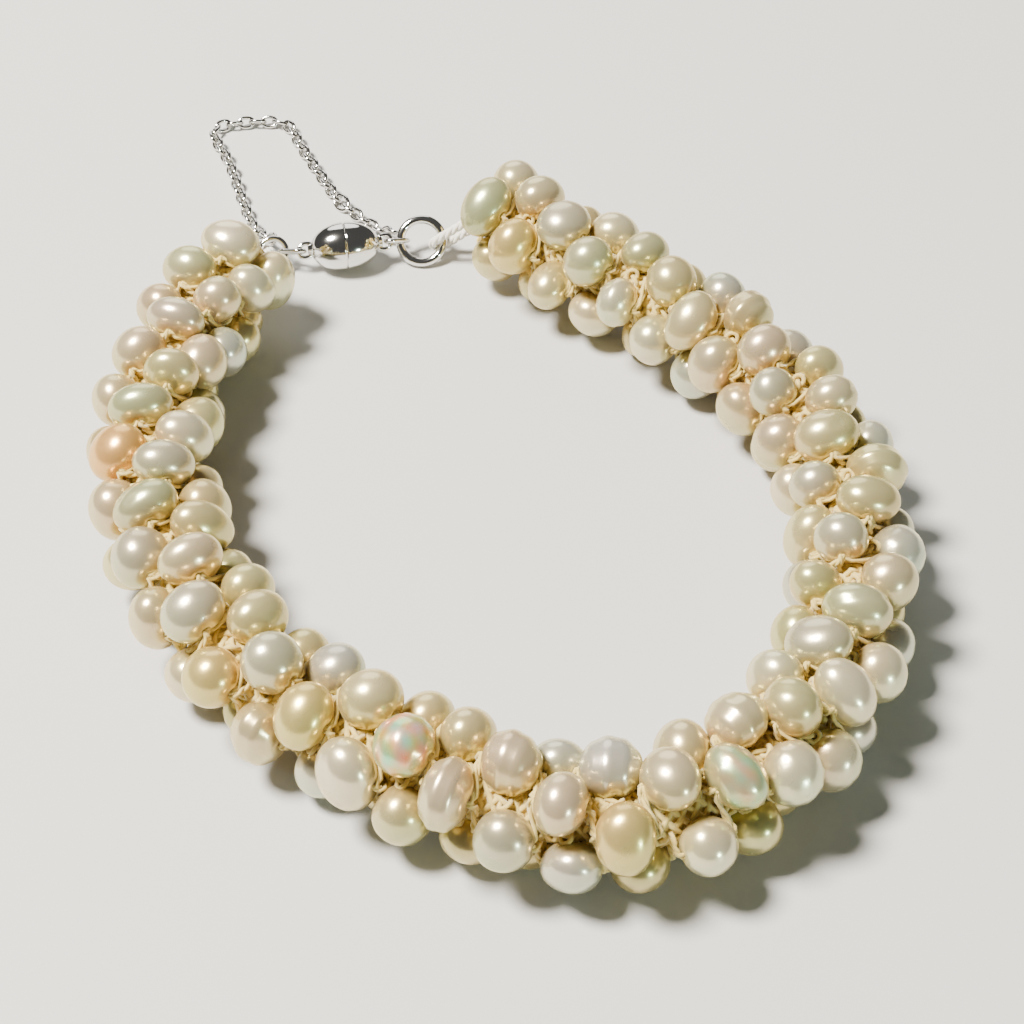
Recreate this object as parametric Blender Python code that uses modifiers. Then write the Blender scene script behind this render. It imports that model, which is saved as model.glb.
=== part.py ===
"""A pearl bracelet: a thick crocheted rope of freshwater pearls that lies in a loop,
closed by an olive-shaped magnetic clasp with a fine safety chain behind it.

Lengths are millimetres in the tables and formulas, and MM turns them into metres.
The bracelet lies on the surface z = 0, its clasp towards +Y.
"""

import math

import bmesh
import bpy
import numpy as np
from mathutils import Matrix, Vector

MM = 0.001

# The middle of the whole bracelet's box in the route's coordinates, which becomes the origin.
MIDDLE = Vector((-0.981, 14.230, 0.0))

# The rope of pearls. Its centre line runs from the left end, round the front, to the right end.
ROPE_ROUTE = (
    (-25.0, 34.4), (-30.4, 15.4), (-28.2, -0.7), (-21.1, -14.9), (-9.4, -24.4),
    (1.9, -30.0), (11.0, -30.8), (17.7, -26.7), (24.0, -19.8), (27.6, -10.0),
    (28.5, 1.7), (25.6, 13.5), (18.1, 24.1), (6.8, 34.2), (-0.9, 41.1),
)
ROPE_HEIGHT = 5.9
PEARLS = 163
FIRST_OF_RIGHT_HALF = 82
HALVES_GAP = 0.3
PEARL_TURN = 98.76
# The lattice's slow twist, in degrees, and its slow slide, at even steps along the rope.
TWIST = (-13, -10, -6, 6, 5, 10, 5, 3, -10)
SLIDE = (1.2, -0.5, -1.1, 0.5, 0.6, -0.6, -0.6, -0.3, 0.4)
PEARL_RING_RADIUS = 3.65
PEARL_ALONG = 2.13
PEARL_ROUND = 2.42
PEARL_OUT = 2.25
SIZE_SPREAD = 0.05
# The most that a size departs from the usual one, in spreads.
MOST_SPREADS = 1.6
PLACE_SPREAD = 0.12
PEARL_CLEARANCE = 0.06
MOST_OUTWARD = 0.15
RELAX_ROUNDS = 60
# The share of an overlap that each of the two pearls gives way by in a round.
GIVE_WAY = 0.4
ROUTE_STEP = 0.25
SEED = 11
# A pearl's foot: its width as a share of the pearl's, how far from the core's middle line it
# ends, whatever the pearl's size, and how much further its tip goes.
FOOT_WIDTH = 0.5
FOOT_END = 1.3
FOOT_TIP = 0.1
CORE_RADIUS = 1.95
CORE_STEP = 3.4
CORE_PAST_PEARLS = 2.0
# Where the halves meet, each core stops this far short, clear of the other half's pearls.
CORE_SHORT_OF_JOIN = 0.95

# The clasp and its rings.
CLASP_CENTRE = Vector((-15.7, 41.0, 2.37))
CLASP_YAW = math.radians(10.0)
CLASP_HALF_LENGTH = 3.4
CLASP_RADIUS = 2.35
CLASP_SEAM = 0.3
CLASP_LOOP_RADIUS = 0.7
CLASP_LOOP_PAST_TIP = 0.45
FINE_WIRE = 0.22
RING_TILT = math.radians(45.0)
RING_RIGHT_CENTRE = Vector((-8.3, 42.3, 2.0))
RING_RIGHT_RADIUS = 2.1
RING_RIGHT_WIRE = 0.43
RING_LEFT_CENTRE = Vector((-22.7, 40.6, 2.0))
RING_LEFT_RADIUS = 1.3
RING_LEFT_WIRE = 0.3
THREAD = 0.4
# The thread loop leaves the core this far inside its end and this far below its middle.
LOOP_INSIDE = 1.2
LOOP_DROP = 0.3
LINK_CLEARANCE = 0.14
THREAD_CLEARANCE = 0.24

# The safety chain, as the tube that its links fill.
CHAIN_ROUTE = (
    (-23.0, 42.6, 2.0), (-25.0, 45.8, 0.72), (-26.8, 51.0, 0.63), (-28.6, 57.0, 0.63),
    (-30.6, 62.2, 0.63), (-28.4, 63.9, 0.63), (-23.4, 63.8, 0.63), (-21.3, 59.6, 0.63),
    (-18.9, 54.5, 0.63), (-16.9, 50.6, 0.63), (-14.6, 47.8, 0.63), (-12.6, 45.6, 0.72),
    (-11.2, 44.0, 1.7),
)
CHAIN_RADIUS = 0.6
CHAIN_STEP = 1.5


def clear_scene():
    for thing in list(bpy.data.objects):
        bpy.data.objects.remove(thing)


def material(name, colour, roughness, metallic):
    made = bpy.data.materials.new(name)
    made.use_nodes = True
    shader = made.node_tree.nodes["Principled BSDF"]
    shader.inputs["Base Color"].default_value = (*colour, 1.0)
    shader.inputs["Roughness"].default_value = roughness
    shader.inputs["Metallic"].default_value = metallic
    return made


def smooth_route(points, step):
    """Points about step apart on a Catmull-Rom curve through the given ones, and their distances."""
    known = np.array(points, float)
    known = np.vstack([2 * known[0] - known[1], known, 2 * known[-1] - known[-2]])
    t = np.linspace(0, 1, 200, endpoint=False)[:, None]
    parts = []
    for a, b, c, d in zip(known, known[1:], known[2:], known[3:]):
        parts.append(
            0.5 * (2 * b + (c - a) * t + (2 * a - 5 * b + 4 * c - d) * t**2
                   + (3 * b - a - 3 * c + d) * t**3)
        )
    fine = np.vstack([*parts, known[-2][None]])
    run = np.concatenate([[0], np.cumsum(np.linalg.norm(np.diff(fine, axis=0), axis=1))])
    count = max(2, round(run[-1] / step) + 1)
    at = np.linspace(0, run[-1], count)
    return np.stack([np.interp(at, run, fine[:, i]) for i in range(fine.shape[1])], axis=1), at


class Rope:
    """The rope's centre line, with a point and a direction at each distance from its left end."""

    def __init__(self):
        self.points, self.run = smooth_route(ROPE_ROUTE, ROUTE_STEP)
        self.length = self.run[-1]
        along = np.gradient(self.points, axis=0)
        self.along = along / np.linalg.norm(along, axis=1)[:, None]

    def at(self, distance):
        """Centres and directions in plan; past an end the line goes straight on."""
        inside = np.clip(distance, 0, self.length)
        centre = np.stack([np.interp(inside, self.run, self.points[:, i]) for i in (0, 1)], axis=1)
        along = np.stack([np.interp(inside, self.run, self.along[:, i]) for i in (0, 1)], axis=1)
        along /= np.linalg.norm(along, axis=1)[:, None]
        return centre + along * (distance - inside)[:, None], along


def slow(table):
    """The table's value at each pearl, from stations spread evenly along the rope."""
    return np.interp(np.arange(PEARLS), np.linspace(0, PEARLS - 1, len(table)), table)


def pearl_distances(rope):
    """How far along the rope each pearl sits. The right half starts past the gap."""
    index = np.arange(PEARLS)
    even = index * (rope.length - HALVES_GAP) / (PEARLS - 1)
    return even + HALVES_GAP * (index >= FIRST_OF_RIGHT_HALF) + slow(SLIDE)


def pearl_table(rope):
    """Each pearl's centre, three axes (along the rope, round it, outwards), half sizes and lift.

    The lift is how far out of the core's middle line the pearl's centre stands.
    """
    chance = np.random.default_rng(SEED)
    distance = pearl_distances(rope)
    angle = np.radians(np.arange(PEARLS) * PEARL_TURN + slow(TWIST))
    spread = np.clip(chance.standard_normal((PEARLS, 3)), -MOST_SPREADS, MOST_SPREADS)
    half = np.array([PEARL_ALONG, PEARL_ROUND, PEARL_OUT]) * (1 + SIZE_SPREAD * spread)
    plan, along = rope.at(distance)
    side = np.stack([-along[:, 1], along[:, 0]], axis=1)
    out = np.concatenate([side * np.cos(angle)[:, None], np.sin(angle)[:, None]], axis=1)
    along = np.concatenate([along, np.zeros((PEARLS, 1))], axis=1)
    around = np.cross(out, along)
    centre = np.concatenate([plan, np.full((PEARLS, 1), ROPE_HEIGHT)], axis=1)
    centre = centre + out * PEARL_RING_RADIUS
    centre = centre + PLACE_SPREAD * chance.uniform(-1, 1, (PEARLS, 3))
    axes = np.stack([along, around, out], axis=1)
    axis = np.concatenate([plan, np.full((PEARLS, 1), ROPE_HEIGHT)], axis=1)
    for _ in range(RELAX_ROUNDS):
        centre = centre + push_apart(centre, axes, half)
        centre[:, 2] = np.maximum(centre[:, 2], half_height(axes, half))
        centre = hold_to_core(centre, axis)
    lift = np.einsum("ij,ij->i", centre - axis, out)
    return centre, axes, shrink_to_fit(centre, axes, half), lift


def reach(direction, axes, half):
    """How far each ellipsoid reaches from its centre along a direction."""
    local = np.einsum("nij,nj->ni", axes, direction) / half
    return 1 / np.linalg.norm(local, axis=1)


def half_height(axes, half):
    return np.linalg.norm(axes[:, :, 2] * half, axis=1)


def hold_to_core(centre, axis):
    """Pulls a pearl that was pushed too far out back to the thread core."""
    out = centre - axis
    far = np.linalg.norm(out, axis=1)
    return axis + out * np.minimum(1, (PEARL_RING_RADIUS + MOST_OUTWARD) / far)[:, None]


def near_pairs(centre):
    one, two = np.triu_indices(PEARLS, 1)
    apart = np.linalg.norm(centre[one] - centre[two], axis=1)
    near = apart < 3 * PEARL_ROUND
    return one[near], two[near], apart[near]


def push_apart(centre, axes, half):
    """A share of each overlap, as a move of both pearls away from each other."""
    one, two, apart = near_pairs(centre)
    line = (centre[two] - centre[one]) / apart[:, None]
    room = apart - reach(line, axes[one], half[one]) - reach(line, axes[two], half[two])
    push = np.minimum(room - PEARL_CLEARANCE, 0)[:, None] * line * GIVE_WAY
    move = np.zeros_like(centre)
    np.add.at(move, one, push)
    np.add.at(move, two, -push)
    return move


def shrink_to_fit(centre, axes, half):
    """A pearl that still overlaps a neighbour is made smaller until it clears it."""
    one, two, apart = near_pairs(centre)
    line = (centre[two] - centre[one]) / apart[:, None]
    wanted = reach(line, axes[one], half[one]) + reach(line, axes[two], half[two])
    factor = np.minimum((apart - PEARL_CLEARANCE) / wanted, 1)
    smallest = np.ones(PEARLS)
    np.minimum.at(smallest, one, factor)
    np.minimum.at(smallest, two, factor)
    return half * smallest[:, None]


def pearl_mesh(name, table, members, materials):
    """Ten-sided pearls as one mesh, each with its poles on the line out of the rope.

    Below its middle a pearl narrows to a foot inside the thread core, where nobody sees it.
    """
    centre, axes, half, lift = table
    shape = bmesh.new()
    for i in members:
        turn = Matrix([Vector(axis) for axis in axes[i]]).transposed().to_4x4()
        size = Matrix.Diagonal((*(half[i] * MM), 1.0))
        place = Matrix.Translation(Vector(centre[i]) * MM)
        made = bmesh.ops.create_uvsphere(shape, u_segments=10, v_segments=4, radius=1.0)["verts"]
        depth = (lift[i] - FOOT_END) / half[i, 2]
        lowest = min(corner.co.z for corner in made)
        for corner in made:
            if corner.co.z == lowest:
                corner.co.z = -depth - FOOT_TIP / half[i, 2]
            elif corner.co.z < lowest / 2:
                corner.co = (corner.co.x * FOOT_WIDTH, corner.co.y * FOOT_WIDTH, -depth)
        bmesh.ops.transform(shape, matrix=place @ turn @ size, verts=made)
    for face in shape.faces:
        face.material_index = 1
        face.smooth = True
    bmesh.ops.recalc_face_normals(shape, faces=shape.faces[:])
    mesh = bpy.data.meshes.new(name)
    shape.to_mesh(mesh)
    shape.free()
    for each in materials:
        mesh.materials.append(each)
    return bpy.data.objects.new(name, mesh)


def wire(name, points, radius, closed, sides, look):
    """A wire or thread of one radius along the points."""
    curve = bpy.data.curves.new(name, "CURVE")
    curve.dimensions = "3D"
    curve.bevel_depth = radius * MM
    curve.bevel_resolution = sides // 2 - 2
    curve.use_fill_caps = not closed
    line = curve.splines.new("POLY")
    line.points.add(len(points) - 1)
    for spot, point in zip(line.points, points):
        spot.co = (*(Vector(point) * MM), 1.0)
    line.use_cyclic_u = closed
    curve.materials.append(look)
    return bpy.data.objects.new(name, curve)


def to_mesh(thing):
    """The same shape as a mesh object with welded caps, in place of the curve."""
    bpy.context.scene.collection.objects.link(thing)
    graph = bpy.context.evaluated_depsgraph_get()
    mesh = bpy.data.meshes.new_from_object(thing.evaluated_get(graph))
    shape = bmesh.new()
    shape.from_mesh(mesh)
    bmesh.ops.remove_doubles(shape, verts=shape.verts[:], dist=0.001 * MM)
    bmesh.ops.recalc_face_normals(shape, faces=shape.faces[:])
    shape.to_mesh(mesh)
    shape.free()
    name = thing.name
    place = thing.matrix_world.copy()
    bpy.data.objects.remove(thing)
    made = bpy.data.objects.new(name, mesh)
    made.matrix_world = place
    return made


def loop_points(start, start_radius, end, end_radius, normal, arc_points=6):
    """An oval loop in the plane of the normal: an arc about each centre, joined by straights."""
    ahead = (end - start).normalized()
    flat = (normal - normal.dot(ahead) * ahead).normalized()
    side = flat.cross(ahead)
    points = []
    for centre, radius, first in ((end, end_radius, -90), (start, start_radius, 90)):
        for i in range(arc_points):
            angle = math.radians(first + 180 * i / (arc_points - 1))
            points.append(centre + radius * (math.cos(angle) * ahead + math.sin(angle) * side))
    return points


def ring_points(centre, radius, across, up, count):
    turns = [math.tau * i / count for i in range(count)]
    return [centre + radius * (math.cos(a) * across + math.sin(a) * up) for a in turns]


# The rings lean back by the tilt, so that they face the viewer as they lie.
ACROSS = Vector((1, 0, 0))
LEANING = Vector((0, math.cos(RING_TILT), math.sin(RING_TILT)))
CLASP_AXIS = Vector((math.cos(CLASP_YAW), math.sin(CLASP_YAW), 0))
CLASP_LOOP_OUT = CLASP_HALF_LENGTH + CLASP_LOOP_PAST_TIP
CLASP_WIRE_OUT = CLASP_LOOP_OUT + CLASP_LOOP_RADIUS


def unite(thing, other, helpers):
    """Joins the other shape to this one with a Boolean union, and keeps it as a hidden helper."""
    helpers.objects.link(other)
    other.hide_render = True
    other.display_type = "WIRE"
    joint = thing.modifiers.new("unite_" + other.name, "BOOLEAN")
    joint.operation = "UNION"
    joint.object = other


def thread_loop(name, rope_end, heading, ring_wire_centre, ring_wire, look):
    """The crocheted loop that comes out of the rope's end and goes round the ring's wire."""
    inside = rope_end - heading * LOOP_INSIDE
    far = ring_wire + THREAD_CLEARANCE + THREAD
    points = loop_points(inside, far, ring_wire_centre, far, LEANING)
    return to_mesh(wire(name, points, THREAD, True, 6, look))


def rope_half(name, rope, table, members, run, loop, looks, parts, helpers):
    """One half of the rope: thread core, pearls and thread loop, united."""
    stops = np.linspace(*run, round((run[1] - run[0]) / CORE_STEP) + 1)
    plan, _ = rope.at(stops)
    points = [(x, y, ROPE_HEIGHT) for x, y in plan]
    core = to_mesh(wire(name, points, CORE_RADIUS, False, 6, looks[0]))
    core.data.materials.append(looks[1])
    parts.objects.link(core)
    unite(core, pearl_mesh(name + "_pearls", table, members, looks), helpers)
    unite(core, loop, helpers)
    return core


def rope_halves(looks, parts, helpers):
    rope = Rope()
    table = pearl_table(rope)
    distance = pearl_distances(rope)
    middle = distance[FIRST_OF_RIGHT_HALF - 1 : FIRST_OF_RIGHT_HALF + 1].mean()
    ends = np.array([distance[0] - CORE_PAST_PEARLS, distance[-1] + CORE_PAST_PEARLS])
    plan, along = rope.at(ends)
    end_points = [Vector((x, y, ROPE_HEIGHT - LOOP_DROP)) for x, y in plan]
    outwards = [-Vector((*along[0], 0)), Vector((*along[1], 0))]
    left_wire = RING_LEFT_CENTRE - RING_LEFT_RADIUS * ACROSS
    right_wire = RING_RIGHT_CENTRE + RING_RIGHT_RADIUS * ACROSS
    left_loop = thread_loop(
        "thread_loop_left", end_points[0], outwards[0], left_wire, RING_LEFT_WIRE, looks[0]
    )
    right_loop = thread_loop(
        "thread_loop_right", end_points[1], outwards[1], right_wire, RING_RIGHT_WIRE, looks[0]
    )
    left = range(FIRST_OF_RIGHT_HALF)
    right = range(FIRST_OF_RIGHT_HALF, PEARLS)
    left_run = (ends[0], middle - CORE_SHORT_OF_JOIN)
    right_run = (middle + CORE_SHORT_OF_JOIN, ends[1])
    rope_half("pearl_rope_left", rope, table, left, left_run, left_loop, looks, parts, helpers)
    rope_half("pearl_rope_right", rope, table, right, right_run, right_loop, looks, parts, helpers)


def clasp_profile(count=9):
    """Down the outer side of one half, from its tip to its flat seam face."""
    start = CLASP_SEAM / 2
    points = []
    for i in range(count):
        angle = math.radians(90 - 90 * i / (count - 1))
        height = max(CLASP_HALF_LENGTH * math.sin(angle), start)
        points.append((CLASP_RADIUS * math.cos(angle), height))
    return [*points, (0.0, start)]


def clasp_half(name, side, silver, parts, helpers):
    """Half of the olive, turned round the clasp's axis, with its soldered wire loop."""
    shape = bmesh.new()
    corners = [shape.verts.new((x * MM, 0, z * MM)) for x, z in clasp_profile()]
    for one, two in zip(corners, corners[1:]):
        shape.edges.new((one, two))
    mesh = bpy.data.meshes.new(name)
    shape.to_mesh(mesh)
    shape.free()
    mesh.materials.append(silver)
    half = bpy.data.objects.new(name, mesh)
    half.location = CLASP_CENTRE * MM
    half.rotation_mode = "QUATERNION"
    half.rotation_quaternion = (CLASP_AXIS * side).to_track_quat("Z", "Y")
    turned = half.modifiers.new("turned", "SCREW")
    turned.steps = turned.render_steps = 20
    turned.use_merge_vertices = True
    turned.merge_threshold = 0.00001
    turned.use_smooth_shade = True
    parts.objects.link(half)
    centre = CLASP_CENTRE + CLASP_AXIS * side * CLASP_LOOP_OUT
    points = ring_points(centre, CLASP_LOOP_RADIUS, CLASP_AXIS, LEANING, 12)
    unite(half, to_mesh(wire(name + "_loop", points, FINE_WIRE, True, 6, silver)), helpers)


def rings_and_links(silver, parts):
    rings = (
        ("jump_ring_left", RING_LEFT_CENTRE, RING_LEFT_RADIUS, RING_LEFT_WIRE, -1),
        ("jump_ring_right", RING_RIGHT_CENTRE, RING_RIGHT_RADIUS, RING_RIGHT_WIRE, 1),
    )
    for name, centre, radius, thickness, side in rings:
        points = ring_points(centre, radius, ACROSS, LEANING, 16)
        parts.objects.link(wire(name, points, thickness, True, 6, silver))
        clasp_wire = CLASP_CENTRE + CLASP_AXIS * side * CLASP_WIRE_OUT
        ring_wire = centre - ACROSS * side * radius
        link = loop_points(
            clasp_wire, 2 * FINE_WIRE + LINK_CLEARANCE,
            ring_wire, thickness + FINE_WIRE + LINK_CLEARANCE, LEANING,
        )
        link_name = name.replace("jump_ring", "link")
        parts.objects.link(wire(link_name, link, FINE_WIRE, True, 6, silver))


def safety_chain(silver, parts):
    points, _ = smooth_route(CHAIN_ROUTE, CHAIN_STEP)
    parts.objects.link(wire("safety_chain", points, CHAIN_RADIUS, False, 8, silver))


def main():
    clear_scene()
    parts = bpy.data.collections.new("pearl_bracelet")
    helpers = bpy.data.collections.new("helpers")
    bpy.context.scene.collection.children.link(parts)
    bpy.context.scene.collection.children.link(helpers)
    thread = material("thread", (0.80, 0.74, 0.60), 0.9, 0.0)
    pearl = material("pearl", (0.86, 0.80, 0.68), 0.25, 0.0)
    silver = material("silver", (0.80, 0.79, 0.76), 0.12, 1.0)
    rope_halves((thread, pearl), parts, helpers)
    for name, side in (("clasp_half_left", -1), ("clasp_half_right", 1)):
        clasp_half(name, side, silver, parts, helpers)
    rings_and_links(silver, parts)
    safety_chain(silver, parts)
    origin = bpy.data.objects.new("bracelet_middle", None)
    parts.objects.link(origin)
    for thing in [*parts.objects, *helpers.objects]:
        if thing != origin:
            thing.parent = origin
    origin.location = -MIDDLE * MM


main()
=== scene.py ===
# %% [markdown]
# # A crocheted rope of freshwater pearls
#
# The bracelet is a thick rope of small pearls. A thread is crocheted into a soft core, and each
# pearl is caught on a stitch, so that the pearls wind round the core in a spiral. A polished
# magnetic clasp closes the loop, and a fine safety chain hangs behind it. This lesson dresses a
# plain solid model of the bracelet: every piece is worked out with numpy as whole arrays of
# points, and its finish is made from Blender's shader nodes.

import math

import bpy
import numpy as np
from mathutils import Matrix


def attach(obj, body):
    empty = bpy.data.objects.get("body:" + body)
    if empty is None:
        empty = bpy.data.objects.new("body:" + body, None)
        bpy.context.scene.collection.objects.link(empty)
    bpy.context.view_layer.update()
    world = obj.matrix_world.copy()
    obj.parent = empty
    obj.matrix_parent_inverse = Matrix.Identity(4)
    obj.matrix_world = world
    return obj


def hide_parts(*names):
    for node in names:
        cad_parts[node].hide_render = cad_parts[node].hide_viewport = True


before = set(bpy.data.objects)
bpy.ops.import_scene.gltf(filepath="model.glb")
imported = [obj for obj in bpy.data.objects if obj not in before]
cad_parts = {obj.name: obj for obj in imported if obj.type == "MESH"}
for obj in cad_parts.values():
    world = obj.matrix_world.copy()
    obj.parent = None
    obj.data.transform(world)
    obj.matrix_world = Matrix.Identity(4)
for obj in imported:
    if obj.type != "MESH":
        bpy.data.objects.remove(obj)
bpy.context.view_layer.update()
print("The solid model has", len(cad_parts), "parts")

# %% [markdown]
# ## Millimetres on a plan
#
# Jewellery is measured in millimetres, so every table here is in millimetres on a plan of the
# bracelet, and one small factor turns them into Blender's metres. The plan's own zero is not the
# middle of the finished bracelet, so each piece is shifted once, as it becomes a mesh.

# %% The plan's scale and its middle
MM = 0.001
MIDDLE = np.array([-0.981, 14.230, 0.0])


def unit(vectors):
    """Each vector divided by its own length."""
    return vectors / np.linalg.norm(vectors, axis=-1, keepdims=True)


# %% [markdown]
# ## From arrays to a mesh
#
# Pearls, wires and threads are all strips of rings: circles of points, one after another along
# a line. A bead closes with a point at each end, and a ring of wire joins its last circle to its
# first. One function gives the faces of any number of such strips, and another makes the mesh.


# %% Faces of strips, and the function that makes a piece
def strip_faces(items, rings, sides, closed):
    """Point (ring i, side j) joins to (i + 1, j + 1) by a four-sided face.

    A closed strip joins its last ring to its first. An open one ends in two extra points, each
    with a fan of triangles.
    """
    size = rings * sides + (0 if closed else 2)
    i, j, start = np.meshgrid(
        np.arange(rings if closed else rings - 1), np.arange(sides), np.arange(items) * size,
        indexing="ij",
    )
    after, beside = (i + 1) % rings * sides, (j + 1) % sides
    corners = (i * sides + j, i * sides + beside, after + beside, after + j)
    quads = np.stack([start + corner for corner in corners], axis=-1).reshape(-1, 4)
    if closed:
        return [quads]
    j, start = np.meshgrid(np.arange(sides), np.arange(items) * size, indexing="ij")
    beside, last = (j + 1) % sides, (rings - 1) * sides
    head = np.stack([start + beside, start + j, start + rings * sides], axis=-1)
    tail = np.stack([start + last + j, start + last + beside, start + rings * sides + 1], axis=-1)
    return [quads, head.reshape(-1, 3), tail.reshape(-1, 3)]


def joined(shapes):
    """Several (points, faces) as one: each shape's face numbers move on by the points before it."""
    points, faces, before = [], [], 0
    for shape_points, shape_faces in shapes:
        flat = shape_points.reshape(-1, 3)
        points.append(flat)
        faces += [block + before for block in shape_faces]
        before += len(flat)
    return np.concatenate(points), faces


def make_piece(name, shape, looks, stands_for, tints=None, look_of_item=(0,)):
    """A smooth mesh from millimetre points: metres = (point - middle) * 0.001.

    Faces run through the items in turn, so the list of each item's look is repeated.
    """
    points, faces = shape
    points = points.reshape(-1, 3)
    signed = sum(
        np.einsum("ij,ij->i", points[f[:, 0]], np.cross(points[f[:, i]], points[f[:, i + 1]])).sum()
        for f in faces for i in range(1, f.shape[1] - 1)
    )
    if signed < 0:
        faces = [f[:, ::-1] for f in faces]
    mesh = bpy.data.meshes.new(name)
    rows = [row for block in faces for row in block.tolist()]
    mesh.from_pydata(((points - MIDDLE) * MM).tolist(), [], rows)
    mesh.shade_smooth()
    if tints is not None:
        layer = mesh.color_attributes.new("tint", "FLOAT_COLOR", "POINT")
        rgba = np.concatenate([tints.reshape(-1, 3), np.ones((len(points), 1))], axis=1)
        layer.data.foreach_set("color", rgba.astype(np.float32).ravel())
    for look in looks:
        mesh.materials.append(look)
    numbers = np.concatenate([np.resize(look_of_item, len(block)) for block in faces])
    mesh.polygons.foreach_set("material_index", numbers.astype(np.int32))
    made = bpy.data.objects.new(name, mesh)
    bpy.context.scene.collection.objects.link(made)
    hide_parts(*stands_for)
    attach(made, "root")
    print(name, "has", sum(len(f) * (f.shape[1] - 2) for f in faces), "triangles")
    return made


# %% [markdown]
# ## Shader maths as Python
#
# A material in Blender is a graph of nodes. Wrapping an output socket in a small class, with the
# operators overloaded, lets the maths of a finish be written as a plain expression: `1 - mask`
# adds a Subtract node. Every other node comes from one method that sets its type, its settings
# and its sockets.


# %% A socket that can be added, multiplied and mixed
class Socket:
    """One output of a node in a material's graph."""

    def __init__(self, graph, output):
        self.graph, self.output = graph, output

    def node(self, kind, settings=None, **values):
        """A new node of this kind in the same graph; a value may be a Socket or a plain number."""
        return add_node(self.graph, kind, settings, **values)

    def maths(self, operation, one, two):
        return self.node("ShaderNodeMath", {"operation": operation}, **{"0": one, "1": two})

    def __add__(self, other):
        return self.maths("ADD", self, other)

    def __sub__(self, other):
        return self.maths("SUBTRACT", self, other)

    def __rsub__(self, other):
        return self.maths("SUBTRACT", other, self)

    def __mul__(self, other):
        return self.maths("MULTIPLY", self, other)

    __radd__, __rmul__ = __add__, __mul__


def add_node(graph, kind, settings=None, output=0, **values):
    """Makes a node, sets its settings, then fills or links its inputs by number or by name."""
    made = graph.nodes.new(kind)
    for key, setting in (settings or {}).items():
        setattr(made, key, setting)
    for key, value in values.items():
        socket = made.inputs[int(key) if key.isdigit() else key.replace("_", " ")]
        if isinstance(value, Socket):
            graph.links.new(value.output, socket)
        else:
            socket.default_value = value
    return Socket(graph, made.outputs[output])


def new_look(name, **values):
    """A material with its shader's plain values set, its graph, and the shader itself."""
    look = bpy.data.materials.new(name)
    look.use_nodes = True
    shader = look.node_tree.nodes["Principled BSDF"]
    for key, value in values.items():
        shader.inputs[key.replace("_", " ")].default_value = value
    return look, look.node_tree, shader


def feed(graph, shader, **sockets):
    for key, socket in sockets.items():
        graph.links.new(socket.output, shader.inputs[key.replace("_", " ")])


# %% [markdown]
# ## The line of the rope
#
# The rope lies in a slightly squashed loop. A jeweller would lay it down by hand, so its line is
# a short list of places joined by a Catmull-Rom curve, which passes through every one of them.
# The same list shaped the solid model, and the fine pearls have to land on it exactly.

# %% A smooth line through a few places
ROPE_ROUTE = (
    (-25.0, 34.4), (-30.4, 15.4), (-28.2, -0.7), (-21.1, -14.9), (-9.4, -24.4),
    (1.9, -30.0), (11.0, -30.8), (17.7, -26.7), (24.0, -19.8), (27.6, -10.0),
    (28.5, 1.7), (25.6, 13.5), (18.1, 24.1), (6.8, 34.2), (-0.9, 41.1),
)
ROPE_HEIGHT = 5.9
ROUTE_STEP = 0.25
POINTS_TO_A_PIECE = 200


def smooth_route(points, step):
    """Catmull-Rom: half of 2b + (c - a)t + (2a - 5b + 4c - d)t^2 + (3b - a - 3c + d)t^3."""
    known = np.array(points, float)
    known = np.vstack([2 * known[0] - known[1], known, 2 * known[-1] - known[-2]])
    a, b, c, d = (known[i : len(known) - 3 + i, None] for i in range(4))
    t = np.linspace(0, 1, POINTS_TO_A_PIECE, endpoint=False)[:, None]
    fine = 0.5 * (2 * b + (c - a) * t + (2 * a - 5 * b + 4 * c - d) * t**2
                  + (3 * b - a - 3 * c + d) * t**3)
    fine = np.vstack([fine.reshape(-1, known.shape[1]), known[-2][None]])
    run = np.concatenate([[0], np.cumsum(np.linalg.norm(np.diff(fine, axis=0), axis=1))])
    at = np.linspace(0, run[-1], max(2, round(run[-1] / step) + 1))
    return np.stack([np.interp(at, run, fine[:, i]) for i in range(fine.shape[1])], axis=1), at


ROPE_POINTS, ROPE_RUN = smooth_route(ROPE_ROUTE, ROUTE_STEP)
ROPE_ALONG = unit(np.gradient(ROPE_POINTS, axis=0))
ROPE_LENGTH = ROPE_RUN[-1]


def rope_at(distance):
    """Centre and direction in plan at each distance; past an end the line goes straight on."""
    inside = np.clip(distance, 0, ROPE_LENGTH)
    centre = np.stack([np.interp(inside, ROPE_RUN, ROPE_POINTS[:, i]) for i in (0, 1)], axis=1)
    along = np.stack([np.interp(inside, ROPE_RUN, ROPE_ALONG[:, i]) for i in (0, 1)], axis=1)
    along = unit(along)
    return centre + along * (distance - inside)[:, None], along


print("The rope is", round(float(ROPE_LENGTH), 1), "mm long")

# %% [markdown]
# ## Where each pearl sits
#
# Crochet puts one pearl on each stitch, and each stitch turns a little more than a quarter round
# the core. So pearl number k sits at k times 1.1 mm along the rope, turned by k times 98.76
# degrees, and its nearest neighbours are numbers k + 3 and k + 4. A rope laid down by hand also
# twists and stretches a little, slowly from end to end, which two short tables give. Real pearls
# differ in size and push each other about, so a few rounds of pushing apart settle them, and
# none sinks into the table.

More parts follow.
